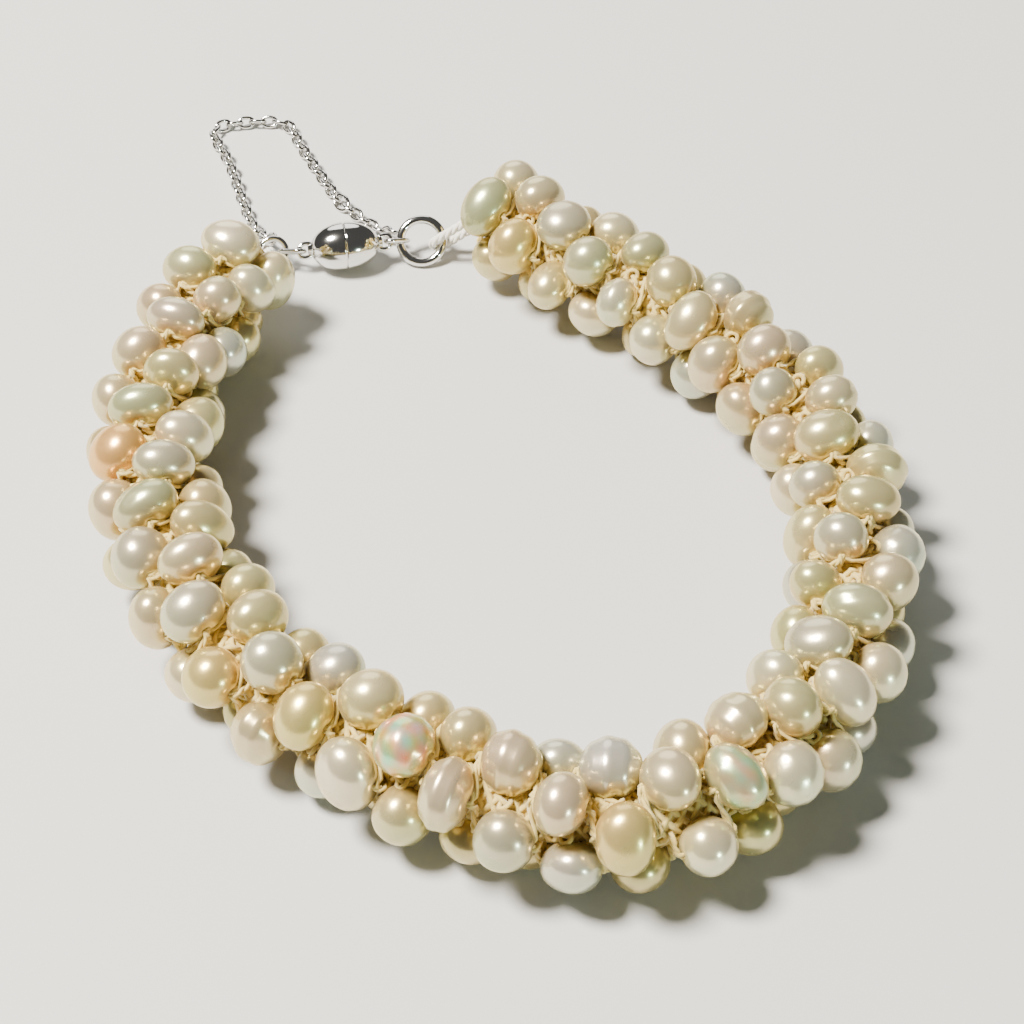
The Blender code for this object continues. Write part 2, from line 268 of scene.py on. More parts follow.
# %% The lattice of pearls
PEARLS = 163
FIRST_OF_RIGHT_HALF = 82
HALVES_GAP = 0.3
PEARL_TURN = 98.76
TWIST = (-13, -10, -6, 6, 5, 10, 5, 3, -10)
SLIDE = (1.2, -0.5, -1.1, 0.5, 0.6, -0.6, -0.6, -0.3, 0.4)
PEARL_RING_RADIUS = 3.65
PEARL_HALVES = np.array([2.13, 2.42, 2.25])
SIZE_SPREAD = 0.05
MOST_SPREADS = 1.6
PLACE_SPREAD = 0.12
PEARL_CLEARANCE = 0.06
NEAR_IN_HALVES = 3
MOST_OUTWARD = 0.15
RELAX_ROUNDS = 60
GIVE_WAY = 0.4
SEED = 11


def reach(line, axes, half):
    """How far an ellipsoid reaches along a line: 1 / |line in its own axes / half sizes|."""
    return 1 / np.linalg.norm(np.einsum("nij,nj->ni", axes, line) / half, axis=1)


def neighbours(centre, axes, half):
    """Pairs of near pearls, the line from one to the other, their distance and combined reach."""
    one, two = np.triu_indices(PEARLS, 1)
    apart = np.linalg.norm(centre[one] - centre[two], axis=1)
    near = apart < NEAR_IN_HALVES * PEARL_HALVES[1]
    one, two, apart = one[near], two[near], apart[near]
    line = (centre[two] - centre[one]) / apart[:, None]
    return one, two, line, apart, (
        reach(line, axes[one], half[one]) + reach(line, axes[two], half[two])
    )


def settle(centre, axes, half, axis):
    """Pushes overlapping pearls apart, lifts them onto the table and holds them to the core."""
    height = np.linalg.norm(axes[:, :, 2] * half, axis=1)
    for _ in range(RELAX_ROUNDS):
        one, two, line, apart, wanted = neighbours(centre, axes, half)
        push = np.minimum(apart - wanted - PEARL_CLEARANCE, 0)[:, None] * line * GIVE_WAY
        move = np.zeros_like(centre)
        np.add.at(move, one, push)
        np.add.at(move, two, -push)
        centre = centre + move
        centre[:, 2] = np.maximum(centre[:, 2], height)
        far = np.linalg.norm(centre - axis, axis=1)
        hold = np.minimum(1, (PEARL_RING_RADIUS + MOST_OUTWARD) / far)
        centre = axis + (centre - axis) * hold[:, None]
    return centre


def fitted(centre, axes, half, press=1.0):
    """Half size * press * distance / combined reach, at most 1; a press of 1 only just touches."""
    one, two, _, apart, wanted = neighbours(centre, axes, half)
    smallest = np.ones(PEARLS)
    np.minimum.at(smallest, one, press * apart / wanted)
    np.minimum.at(smallest, two, press * apart / wanted)
    return half * smallest[:, None]


def slow(table):
    """The table's value at each pearl, from stations spread evenly along the rope."""
    return np.interp(np.arange(PEARLS), np.linspace(0, PEARLS - 1, len(table)), table)


def pearl_distances():
    """Distance = number * even step + the halves' gap past the middle + the slow slide."""
    index = np.arange(PEARLS)
    even = index * (ROPE_LENGTH - HALVES_GAP) / (PEARLS - 1)
    return even + HALVES_GAP * (index >= FIRST_OF_RIGHT_HALF) + slow(SLIDE)


def pearl_table():
    """Centre, axes (along the rope, round it, outwards) and half sizes of every pearl."""
    chance = np.random.default_rng(SEED)
    angle = np.radians(np.arange(PEARLS) * PEARL_TURN + slow(TWIST))
    spread = np.clip(chance.standard_normal((PEARLS, 3)), -MOST_SPREADS, MOST_SPREADS)
    half = PEARL_HALVES * (1 + SIZE_SPREAD * spread)
    plan, along = rope_at(PEARL_DISTANCE)
    side = np.stack([-along[:, 1], along[:, 0]], axis=1)
    out = np.concatenate([side * np.cos(angle)[:, None], np.sin(angle)[:, None]], axis=1)
    along = np.concatenate([along, np.zeros((PEARLS, 1))], axis=1)
    axis = np.concatenate([plan, np.full((PEARLS, 1), ROPE_HEIGHT)], axis=1)
    centre = axis + out * PEARL_RING_RADIUS
    centre = centre + PLACE_SPREAD * chance.uniform(-1, 1, (PEARLS, 3))
    axes = np.stack([along, np.cross(out, along), out], axis=1)
    centre = settle(centre, axes, half, axis)
    return centre, axes, fitted(centre, axes, half), axis


PEARL_DISTANCE = pearl_distances()
PEARL_CENTRE, PEARL_AXES, PEARL_HALF, CORE_POINT = pearl_table()
print("The highest centre of a pearl is", round(float(PEARL_CENTRE[:, 2].max()), 1), "mm up")

# %% [markdown]
# ## One pearl, and all its sisters
#
# No freshwater pearl is a perfect ball. Most are a little flat or pear-shaped, some carry rings,
# wrinkles or small pits, and the drill leaves a dimple at each end of the hole. So a pearl here
# is a ball whose radius swells and shrinks by a few smooth waves, then is stretched to its own
# three sizes. Short charts name the pearls of each tint and of each odd form.

# %% Tints, and the pearls that have them
TINTS = {
    "cream": (0.62, 0.54, 0.29), "white": (0.68, 0.62, 0.42), "silver": (0.56, 0.50, 0.35),
    "rose": (0.62, 0.51, 0.32), "peach": (0.74, 0.42, 0.15), "yellow": (0.63, 0.49, 0.18),
    "olive": (0.57, 0.51, 0.25), "green": (0.51, 0.50, 0.28), "blue": (0.56, 0.56, 0.48),
}
# Painted shade and painted bounced light: the side of each pearl that faces the core is darker and
# more golden, as the light that wanders among pearls and thread makes it.
GOLDEN_PAINTED_SHADE = np.array([0.92, 0.78, 0.44])
TINT_CHART = {
    "white": (0, 1, 4, 18, 26, 46, 60, 82, 89, 95, 96, 100, 120, 142, 146, 149, 151, 162),
    "silver": (12, 30, 38, 45, 52, 71, 93, 99, 110, 117, 128, 154),
    "rose": (8, 9, 15, 16, 20, 29, 31, 41, 42, 53, 67, 70, 74, 81, 84, 88, 107, 124, 125, 127,
             131, 132, 135, 158),
    "peach": (27,),
    "yellow": (49, 56, 78, 157),
    "olive": (19, 37, 48, 79, 86, 92, 102, 106, 114, 121, 143),
    "green": (5, 23, 34, 40, 85, 103, 147, 150, 161),
    # Pearl 57's blue is painted reflection: it stands for the blue sky reflected on a pearl that
    # lay in shade.
    "blue": (11, 55, 57, 73, 75, 77, 97, 104, 109, 111, 115, 122, 133, 138, 140),
}
FORM_CHART = {
    "rings": (53, 67, 70, 77, 88, 118, 136),
    "wrinkles": (63, 85, 89, 111),
    "pits": (34, 121, 125),
    "furrow": (60, 92, 103, 146),
}
# How strongly the pink and cyan patches show on the pearls that have them.
RAINBOW = {63: 1.5, 85: 0.6}
# How much longer along the rope, and how much wider round it, a pearl of unusual shape is. The
# thread pulls the pearls together, so they are plump enough to press a little on each other.
PLUMP = 1.06
PRESS = 1.06
USUAL_SHAPE = (0.99, 0.99)
SHAPE_CHART = {
    0: (1.08, 1.10), 1: (0.98, 1.07), 4: (0.88, 0.91), 5: (0.87, 1.00), 8: (0.96, 0.90),
    12: (0.74, 1.02), 15: (1.20, 1.12), 16: (0.96, 1.08), 19: (0.74, 1.04), 23: (0.85, 1.00),
    26: (0.96, 1.08), 27: (1.00, 1.12), 30: (0.86, 1.10), 33: (1.06, 1.03), 34: (0.87, 1.14),
    37: (0.86, 1.00), 38: (1.08, 1.12), 41: (0.87, 1.03), 42: (0.96, 1.12), 44: (0.88, 0.90),
    48: (0.96, 1.08), 49: (1.10, 1.12), 52: (1.00, 0.90), 53: (1.01, 1.12), 56: (1.04, 1.04),
    59: (1.06, 1.02), 60: (1.20, 1.16), 63: (1.06, 1.02), 64: (0.97, 1.14), 67: (0.93, 1.10),
    74: (0.90, 1.03), 75: (1.10, 1.12), 78: (0.98, 1.16), 82: (0.92, 0.83), 85: (0.80, 1.00),
    92: (0.90, 0.99), 95: (0.90, 0.94), 96: (0.94, 1.10), 99: (1.05, 1.03), 103: (0.97, 1.16),
    106: (0.82, 0.76), 110: (0.84, 0.80), 113: (1.05, 1.06), 114: (0.99, 1.01), 117: (0.82, 0.84),
    118: (0.87, 1.06), 121: (0.96, 1.04), 125: (0.88, 0.88), 128: (0.84, 0.80), 129: (0.90, 0.96),
    131: (1.08, 1.05), 132: (0.90, 0.93), 135: (1.00, 1.10), 136: (0.86, 1.04), 139: (0.96, 1.05),
    146: (0.82, 0.92), 147: (0.93, 0.93), 153: (0.92, 0.87), 154: (1.04, 1.00), 157: (1.15, 1.00),
    161: (1.05, 1.14),
}


def charted(chart, usual):
    """The chart turned round: the name that each pearl has, or the usual one."""
    names = [usual] * PEARLS
    for name, numbers in chart.items():
        for number in numbers:
            names[number] = name
    return names


PEARL_TINTS = charted(TINT_CHART, "cream")
PEARL_FORMS = charted(FORM_CHART, "plain")
shares = np.array([(*SHAPE_CHART.get(i, USUAL_SHAPE), 1.0) for i in range(PEARLS)])
shares[:, :2] *= PLUMP
PEARL_HALF = fitted(PEARL_CENTRE, PEARL_AXES, PEARL_HALF * shares, PRESS)
SKIN_SEED = 5
MOOD = np.random.default_rng(SKIN_SEED)
print(len(SHAPE_CHART), "pearls have a shape of their own")

# %% The depths of the lumps, rings, wrinkles, pits and drill holes, as shares of the radius
LUMP_SPREAD = 0.036
RIPPLE, RIPPLE_PITCH = 0.006, 7
RING_DEPTH, RINGS, RING_CROWDING = 0.022, 11, 0.96
WRINKLE_DEPTHS, WRINKLE_PITCHES = (0.055, 0.02), (9, 15)
FURROW_DEPTH, FURROW_WIDTH, FURROW_WAY = 0.05, 0.07, (0.8, 0.5, 0.1)
PIT_DEPTH, PIT_WIDTH = 0.09, 0.13
PIT_PLACES = ((-0.35, -0.4, 0.8), (-0.1, -0.62, 0.72), (0.3, -0.3, 0.9))
DIMPLE_DEPTH, DIMPLE_WIDTH = 0.07, 0.17


# %% The surface of every pearl at once
def ball_grid(rings, sides):
    """Directions on a unit ball: x = cos a, y = sin a cos b, z = sin a sin b, then both poles."""
    a = np.linspace(0, math.pi, rings + 2)[1:-1, None]
    b = np.linspace(0, math.tau, sides, endpoint=False)[None]
    grid = np.stack([np.cos(a) + 0 * b, np.sin(a) * np.cos(b), np.sin(a) * np.sin(b)], axis=-1)
    return np.concatenate([grid.reshape(-1, 3), [[1, 0, 0], [-1, 0, 0]]])


def slow_waves(ways):
    """Nine smooth lumps of a ball: products of x, y and z, which vary slowly round it."""
    x, y, z = ways.T
    lumps = (x * x - 1 / 3, x * y, y * z, z * x, y * y - z * z, x**3, y**3, z**3, x * y * z)
    return np.stack(lumps)


def fine_waves(ways, count, pitch, chance):
    """The mean of cosines cos(w . way + phase) along random directions w of about one pitch."""
    w = unit(chance.standard_normal((count, 3))) * pitch
    return np.cos(w @ ways.T + chance.uniform(0, math.tau, (count, 1))).mean(axis=0)


def pearl_form(ways, form, chance):
    """How far a special pearl's radius departs from the plain one, as a share of it."""
    if form == "rings":
        waves = np.cos(RINGS * np.arccos(ways[:, 0] * RING_CROWDING))
        return RING_DEPTH * waves * (1 - ways[:, 0] ** 4)
    if form == "wrinkles":
        broad = np.abs(fine_waves(ways, 6, WRINKLE_PITCHES[0], chance))
        return WRINKLE_DEPTHS[0] * broad + WRINKLE_DEPTHS[1] * fine_waves(
            ways, 5, WRINKLE_PITCHES[1], chance
        )
    if form == "furrow":
        across = ways @ unit(np.array(FURROW_WAY))
        fade = np.clip(ways[:, 2] + 0.6, 0, 1)
        return -FURROW_DEPTH * np.exp(-((across / FURROW_WIDTH) ** 2)) * fade
    if form == "pits":
        near = np.linalg.norm(ways[:, None] - unit(np.array(PIT_PLACES)), axis=2)
        return -PIT_DEPTH * np.exp(-((near / PIT_WIDTH) ** 2)).sum(axis=1)
    return np.zeros(len(ways))


def pearls(members, rings, sides):
    """Points = centre + axes . (way * half sizes * swell), with a dimple at each drill hole."""
    ways = ball_grid(rings, sides)
    lumps = MOOD.normal(0, LUMP_SPREAD, (len(members), 9)) @ slow_waves(ways)
    swell = 1 + lumps
    for row, index in enumerate(members):
        swell[row] += RIPPLE * fine_waves(ways, 8, RIPPLE_PITCH, MOOD)
        swell[row] += pearl_form(ways, PEARL_FORMS[index], MOOD)
    from_pole = np.arccos(np.clip(np.abs(ways[:, 0]), 0, 1))
    swell -= DIMPLE_DEPTH * np.exp(-((from_pole / DIMPLE_WIDTH) ** 2))
    local = ways[None] * PEARL_HALF[members][:, None] * swell[..., None]
    points = PEARL_CENTRE[members][:, None] + np.einsum("nmk,nkj->nmj", local, PEARL_AXES[members])
    points[..., 2] = np.maximum(points[..., 2], 0.0)
    return points, strip_faces(len(members), rings, sides, False), ways, from_pole


# %% The colour of every point of every pearl
SHADE_POWER = 1.2
TINT_SPREAD = 0.035
DRIFT = np.array([0.03, -0.010, 0.006])
PINK, PINK_PITCH = (0.34, -0.16, -0.02), 10
CYAN, CYAN_PITCH = (-0.26, 0.12, 0.24), 12
# Painted shade: a dark brown disc at each drill hole stands for the shade inside the hole, which
# the mesh leaves closed.
HOLE_SHADE_COLOUR, HOLE_STRENGTH, HOLE_WIDTH = np.array([0.30, 0.20, 0.10]), 0.75, 0.11


def pearl_tints(members, ways, from_pole):
    """Tint * (1 - w + w * golden painted shade), w = ((1 - outwards) / 2)^1.2, and painted shade at
    the holes.
    """
    base = np.array([TINTS[PEARL_TINTS[i]] for i in members])
    base = base * (1 + MOOD.normal(0, TINT_SPREAD, (len(members), 1)))
    pull = unit(MOOD.standard_normal((len(members), 3))) @ ways.T
    # Painted shade and bounced light: w grows towards the side that faces the core.
    inwards = ((1 - ways[:, 2]) / 2)[:, None] ** SHADE_POWER
    colour = (base[:, None] + pull[..., None] * DRIFT) * (1 - inwards + inwards * GOLDEN_PAINTED_SHADE)
    for row, index in enumerate(members):
        if index in RAINBOW:
            patches = np.outer(fine_waves(ways, 6, PINK_PITCH, MOOD), PINK)
            patches = patches + np.outer(fine_waves(ways, 6, CYAN_PITCH, MOOD), CYAN)
            colour[row] += RAINBOW[index] * patches * (1 - inwards) ** 2
    # Painted shade inside each drill hole.
    hole = HOLE_STRENGTH * np.exp(-((from_pole / HOLE_WIDTH) ** 2))[None, :, None]
    return np.clip(colour, 0.02, 0.95) * (1 - hole) + HOLE_SHADE_COLOUR * hole


# %% [markdown]
# ## Nacre
#
# Nacre is built of thin clear layers, so a pearl shines twice: a soft glow from inside, and a
# sharper gleam from its skin, with a hint of oil colours. The Principled shader does this with
# some scattering under the surface, a part that is metallic, a golden tint at the rim, a coat,
# and a thin film of about the thickness of the layers. A film of 375 nanometres gleams green,
# one of 430 warm and one of 470 rose, so three materials share out the overtones. A very fine
# bump keeps the gleam from looking like plastic.


# %% The finish of the pearls
def nacre(overtone, film):
    look, graph, shader = new_look(
        "nacre_" + overtone, IOR=1.7, Metallic=0.65, Specular_Tint=(1.0, 0.90, 0.56, 1),
        Coat_Weight=0.5, Coat_Roughness=0.11, Coat_IOR=1.5,
        Subsurface_Weight=0.25, Subsurface_Radius=(1.0, 0.85, 0.5), Subsurface_Scale=0.0012,
        Thin_Film_Thickness=film, Thin_Film_IOR=1.38,
        Sheen_Weight=0.2, Sheen_Roughness=0.35, Sheen_Tint=(1.0, 0.86, 0.46, 1),
    )
    place = add_node(graph, "ShaderNodeTexCoord", output=3)
    tint = add_node(graph, "ShaderNodeVertexColor", {"layer_name": "tint"})
    cloud = add_node(graph, "ShaderNodeTexNoise", Vector=place, Scale=420.0, Detail=3.0)
    grain = add_node(graph, "ShaderNodeTexNoise", Vector=place, Scale=2600.0, Detail=2.0)
    bump = add_node(
        graph, "ShaderNodeBump", Strength=0.16, Distance=0.00012, Height=cloud + grain * 0.35
    )
    feed(graph, shader, Base_Color=tint, Roughness=cloud * 0.16 + 0.17, Normal=bump)
    return look


OVERTONES = {"green": 375.0, "warm": 430.0, "rose": 470.0}
NACRE = [nacre(overtone, film) for overtone, film in OVERTONES.items()]
# The overtone's number for each tint: 0 green, 1 warm, 2 rose.
TINT_OVERTONE = {
    "cream": 1, "white": 1, "silver": 2, "rose": 2, "peach": 2, "yellow": 1, "olive": 0,
    "green": 0, "blue": 2,
}

# %% The two halves of the rope's pearls
PEARL_RINGS, PEARL_SIDES = 21, 34
HALF_ROPES = {
    "left": np.arange(FIRST_OF_RIGHT_HALF),
    "right": np.arange(FIRST_OF_RIGHT_HALF, PEARLS),
}
for half_name, members in HALF_ROPES.items():
    points, faces, ways, from_pole = pearls(members, PEARL_RINGS, PEARL_SIDES)
    make_piece(
        "pearls_" + half_name, (points, faces), NACRE, ["pearl_rope_" + half_name],
        pearl_tints(members, ways, from_pole), [TINT_OVERTONE[PEARL_TINTS[i]] for i in members],
    )

# %% [markdown]
# ## Wires and threads
#
# A ring, a chain link and a strand of thread are all one idea: a circle carried along a line.
# The circle needs a second direction to lean on, so each path comes with a direction that it
# never runs along. Whole families of wires are worked out in one go.


# %% Round tubes along many paths, and plies of twisted thread
def leaning_frames(paths, facing, closed):
    """Side = along x facing and up = side x along, at every point of every path."""
    if closed:
        along = unit(np.roll(paths, -1, axis=1) - np.roll(paths, 1, axis=1))
    else:
        along = unit(np.gradient(paths, axis=1))
    side = unit(np.cross(along, facing))
    return side, np.cross(side, along)


def tubes(paths, facing, radius, sides, closed):
    """Point = path + radius * (side * cos b + up * sin b), for b once round the wire."""
    side, up = leaning_frames(paths, facing, closed)
    turn = np.linspace(0, math.tau, sides, endpoint=False)[:, None]
    circle = side[:, :, None] * np.cos(turn) + up[:, :, None] * np.sin(turn)
    points = (paths[:, :, None] + radius * circle).reshape(len(paths), -1, 3)
    if not closed:
        points = np.concatenate([points, paths[:, :1], paths[:, -1:]], axis=1)
    return points, strip_faces(len(paths), paths.shape[1], sides, closed)


def plies(paths, facing, count, spread, turns, closed):
    """Strands round each path: path + spread * (side * cos w + up * sin w), w rising evenly."""
    side, up = leaning_frames(paths, facing, closed)
    share = np.linspace(0, turns, paths.shape[1], endpoint=not closed)
    angle = math.tau * (share + np.arange(count)[:, None] / count)[..., None]
    wound = side[:, None] * np.cos(angle) + up[:, None] * np.sin(angle)
    return (paths[:, None] + spread * wound).reshape(-1, *paths.shape[1:])


# %% [markdown]
# ## Thread
#
# The thread is a twisted cotton or silk cord. Where it is buried among the pearls it is darker and
# more golden than in the bare loops at the ends: partly the cord's own cream, partly painted shade
# of the crevices. The plies themselves are shapes, so the shader only has to look soft: rough, with
# a little sheen for the loose fibres, and a fine bump for the rest.


# %% The finish of the thread
def spun_thread(name, colour, darker_tone):
    look, graph, shader = new_look(
        name, Roughness=0.82, Specular_IOR_Level=0.25, Sheen_Weight=0.45, Sheen_Roughness=0.5,
        Subsurface_Weight=0.15, Subsurface_Radius=(1.0, 0.8, 0.5), Subsurface_Scale=0.0006,
    )
    place = add_node(graph, "ShaderNodeTexCoord", output=3)
    fibre = add_node(graph, "ShaderNodeTexNoise", Vector=place, Scale=3600.0, Detail=3.0)
    patch = add_node(graph, "ShaderNodeTexNoise", Vector=place, Scale=300.0, Detail=2.0)
    # The darker tone is mixed in at random by noise, along the fibres and in patches.
    tone = add_node(
        graph, "ShaderNodeMix", {"data_type": "RGBA"}, output=2,
        **{"0": fibre * 0.6 + patch * 0.4, "6": (*darker_tone, 1), "7": (*colour, 1)},
    )
    bump = add_node(graph, "ShaderNodeBump", Strength=0.6, Distance=0.00008, Height=fibre)
    feed(graph, shader, Base_Color=tone, Normal=bump)
    return look


# Painted shade: the buried thread's cream is darker and more golden than the loops' white thread.
SHADED_CREAM_THREAD = spun_thread("shaded_cream_thread", (0.73, 0.57, 0.19), (0.48, 0.34, 0.09))
WHITE_THREAD = spun_thread("white_thread", (0.86, 0.84, 0.78), (0.62, 0.58, 0.50))

# %% [markdown]
# ## The crocheted core
#
# Under the pearls is a tube of slip stitches, of which only glimpses show between the beads. A
# smooth tube fills it, and thread runs round it both ways, each strand over one and under the
# next, which gives the same small V shapes as rows of stitches do. A coil of thread closes each
# end of the rope.

# %% The core of both halves
CORE_RADIUS = 1.9
CORE_SIDES = 24
CORE_STEP = 0.5
CORE_PAST_PEARLS = 2.0
STRANDS_EACH_WAY = 9
STRAND_RADIUS = 0.25
STRAND_SIDES = 6
OVER_AND_UNDER = 0.17
TURN_IN_MM = 9.0
END_COIL_TURNS = 4
END_COIL_POINTS = 80
END_COIL_BULGE = 0.3


def core_axis(run):
    """The core's middle line, and the two directions across it, at each distance."""
    plan, along = rope_at(run)
    side = np.stack([-along[:, 1], along[:, 0], 0 * run], axis=1)
    axis = np.concatenate([plan, np.full((len(run), 1), ROPE_HEIGHT)], axis=1)
    return axis, side, np.array([0, 0, 1.0])


def core(start, end):
    """Point = axis + radius * (side * cos b + up * sin b), a plain tube."""
    run = np.linspace(start, end, round((end - start) / CORE_STEP))
    axis, side, up = core_axis(run)
    b = np.linspace(0, math.tau, CORE_SIDES, endpoint=False)[:, None]
    points = axis[:, None] + CORE_RADIUS * (side[:, None] * np.cos(b) + up * np.sin(b))
    faces = strip_faces(1, len(run), CORE_SIDES, False)
    return np.concatenate([points.reshape(-1, 3), axis[:1], axis[-1:]]), faces


def crossed_strands(start, end, way):
    """Angle = way * w + k/n of a turn, radius = core + way * a * cos(n * w), w the run's turn."""
    run = np.linspace(start, end, round((end - start) / CORE_STEP))
    axis, side, up = core_axis(run)
    w = math.tau * run / TURN_IN_MM
    first = np.arange(STRANDS_EACH_WAY)[:, None] / STRANDS_EACH_WAY
    angle = (way * w + math.tau * first)[..., None]
    radius = CORE_RADIUS + STRAND_RADIUS / 2 + way * OVER_AND_UNDER * np.cos(STRANDS_EACH_WAY * w)
    outwards = side * np.cos(angle) + up * np.sin(angle)
    paths = axis + radius[:, None] * outwards
    return tubes(paths, outwards, STRAND_RADIUS, STRAND_SIDES, False)


def end_coil(distance, way):
    """A spiral that closes an end: radius = core * (1 - s) + a little, and it rises with s."""
    share = np.linspace(0, 1, END_COIL_POINTS)[:, None]
    axis, side, up = core_axis(np.array([distance]))
    outwards = way * np.cross(side, up)
    angle = math.tau * END_COIL_TURNS * share
    radius = CORE_RADIUS * (1 - share) + OVER_AND_UNDER
    path = axis + radius * (side * np.cos(angle) + up * np.sin(angle))
    path = path + outwards * END_COIL_BULGE * share
    return tubes(path[None], outwards[None], STRAND_RADIUS, STRAND_SIDES, False)


JOIN = PEARL_DISTANCE[FIRST_OF_RIGHT_HALF - 1 : FIRST_OF_RIGHT_HALF + 1].mean()
ROPE_ENDS = (PEARL_DISTANCE[0] - CORE_PAST_PEARLS, PEARL_DISTANCE[-1] + CORE_PAST_PEARLS)
CORE_RUNS = {"left": (ROPE_ENDS[0], JOIN), "right": (JOIN, ROPE_ENDS[1])}
for half_name, (start, end) in CORE_RUNS.items():
    shapes = [core(start, end), *(crossed_strands(start, end, way) for way in (1, -1))]
    shapes.append(end_coil(start, -1) if half_name == "left" else end_coil(end, 1))
    make_piece("thread_core_" + half_name, joined(shapes), [SHADED_CREAM_THREAD],
               ["pearl_rope_" + half_name])

# %% [markdown]
# ## Stitches that hold the pearls
#
# At each hole the thread comes out of one pearl and dips to the core, and another strand crosses
# to the third and fourth pearls along, its neighbours on the two spirals. Each strand is a
# Bezier curve on five control points, and two thin plies wind round it. A small knot fills each
# space between four pearls. All of them are worked out together, from the same table of pearls.

# %% Strands from hole to hole and from hole to core
PLY_RADIUS = 0.17
PLY_SPREAD = 0.14
PLIES = 2
PLY_TURNS = 1.4
THREAD_SIDES = 5
STRAND_POINTS = 8
HOLE_AT = 0.95
INTO_HOLE = 0.4
OUT_OF_HOLE = 0.8
DIP_BETWEEN_PEARLS = 0.5
# How far ahead of the hole, in towards the core and sideways each control of a diving strand is.
DIVE_AHEAD = (-0.4, 0.5, 0.55, 0.2, 0.0)
DIVE_INWARDS = (0.0, 0.0, 0.5, 1.2, 1.9)
DIVE_SIDEWAYS = (0.0, 0.0, 0.25, 0.7, 0.6)
NEXT_ON_SPIRALS = (3, 4)
ROUND_A_GAP = np.array([0, 3, 4, 7])
KNOT_HEIGHT = 2.25
KNOT_SCALE = 0.3
KNOT_PLY = 0.21
KNOT_POINTS = 28
KNOT_DEPTH = 0.8
BINOMIALS = np.array([1, 4, 6, 4, 1])


def bezier(controls, count):
    """Point(t) = sum of C(4, i) * t^i * (1 - t)^(4 - i) * control i, for all strands at once."""
    t = np.linspace(0, 1, count)[:, None]
    i = np.arange(5)
    return np.einsum("ti,nij->ntj", BINOMIALS * t**i * (1 - t) ** (4 - i), controls)


def hole_places(members, end):
    """The drill hole at one end of each pearl, and the three directions there."""
    along, around, out = (PEARL_AXES[members, i] for i in range(3))
    hole = PEARL_CENTRE[members] + end * along * PEARL_HALF[members, :1] * HOLE_AT
    return hole, end * along, around, out


def crossing_strands(members, step):
    """Out of one pearl's hole, towards the core, and into the hole of its neighbour."""
    first = members[: len(members) - step]
    hole, ahead, _, out = hole_places(first, 1)
    other, back, _, other_out = hole_places(first + step, -1)
    middle = (hole + other) / 2 - (out + other_out) * DIP_BETWEEN_PEARLS
    controls = (
        hole - INTO_HOLE * ahead, hole + OUT_OF_HOLE * ahead, middle,
        other + OUT_OF_HOLE * back, other - INTO_HOLE * back,
    )
    return np.stack(controls, axis=1), out


def diving_strands(members, end):
    """Out of a hole and down to the core, a little to one side."""
    hole, ahead, around, out = hole_places(members, end)
    sideways = around * MOOD.choice([-1.0, 1.0], (len(members), 1))
    controls = [
        hole + a * ahead - b * out + c * sideways
        for a, b, c in zip(DIVE_AHEAD, DIVE_INWARDS, DIVE_SIDEWAYS)
    ]
    return np.stack(controls, axis=1), around


def stitch_knots(members):
    """Trefoil knots between four neighbours: (sin t + 2 sin 2t, cos t - 2 cos 2t, -d sin 3t)."""
    first = members[: len(members) - ROUND_A_GAP[-1]]
    group = first[:, None] + ROUND_A_GAP
    middle = PEARL_CENTRE[group].mean(axis=1)
    axis = CORE_POINT[group].mean(axis=1)
    place = axis + unit(middle - axis) * KNOT_HEIGHT
    t = np.linspace(0, math.tau, KNOT_POINTS, endpoint=False)
    t = t + MOOD.uniform(0, math.tau, (len(first), 1))
    wave = np.stack([
        np.sin(t) + 2 * np.sin(2 * t), np.cos(t) - 2 * np.cos(2 * t), -KNOT_DEPTH * np.sin(3 * t),
    ], axis=-1)
    turned = np.einsum("ntj,njk->ntk", wave, PEARL_AXES[first + 3])
    paths = place[:, None] + KNOT_SCALE * turned
    paths[..., 2] = np.maximum(paths[..., 2], KNOT_PLY)
    return tubes(paths, PEARL_AXES[first + 3, 2][:, None], KNOT_PLY, THREAD_SIDES, True)


for half_name, members in HALF_ROPES.items():
    shapes = [stitch_knots(members)]
    for controls, facing in (
        *(crossing_strands(members, step) for step in NEXT_ON_SPIRALS),
        *(diving_strands(members, end) for end in (1, -1)),
    ):
        paths = bezier(controls, STRAND_POINTS)
        paths[..., 2] = np.maximum(paths[..., 2], PLY_RADIUS + PLY_SPREAD)
        wound = plies(paths, facing[:, None], PLIES, PLY_SPREAD, PLY_TURNS, False)
        facing = np.repeat(facing, PLIES, axis=0)[:, None]
        shapes.append(tubes(wound, facing, PLY_RADIUS, THREAD_SIDES, False))
    make_piece("stitches_" + half_name, joined(shapes), [SHADED_CREAM_THREAD], ["pearl_rope_" + half_name])

# %% [markdown]
# ## Polished silver
#
# The clasp, rings and chain are plated and polished. Metal is nearly all reflection, so the
# shader is metallic and smooth, with a faint cloudiness in its roughness from handling.


# %% The finish of the silver
def polished_silver():
    look, graph, shader = new_look(
        "silver_plate", Base_Color=(0.78, 0.77, 0.74, 1), Metallic=1.0, Coat_Weight=0.2,
        Coat_Roughness=0.03,
    )
    place = add_node(graph, "ShaderNodeTexCoord", output=3)
    haze = add_node(graph, "ShaderNodeTexNoise", Vector=place, Scale=500.0, Detail=4.0)
    feed(graph, shader, Roughness=haze * 0.10 + 0.05)
    return look


SILVER = polished_silver()

# %% [markdown]
# ## The magnetic clasp
#
# Two half olives hide a magnet each and snap together at a fine seam. A half olive is a lathe
# shape: a quarter of an oval turned round the clasp's axis, with a fine groove at the seam and
# a collar at the tip, where a wire loop is soldered on.

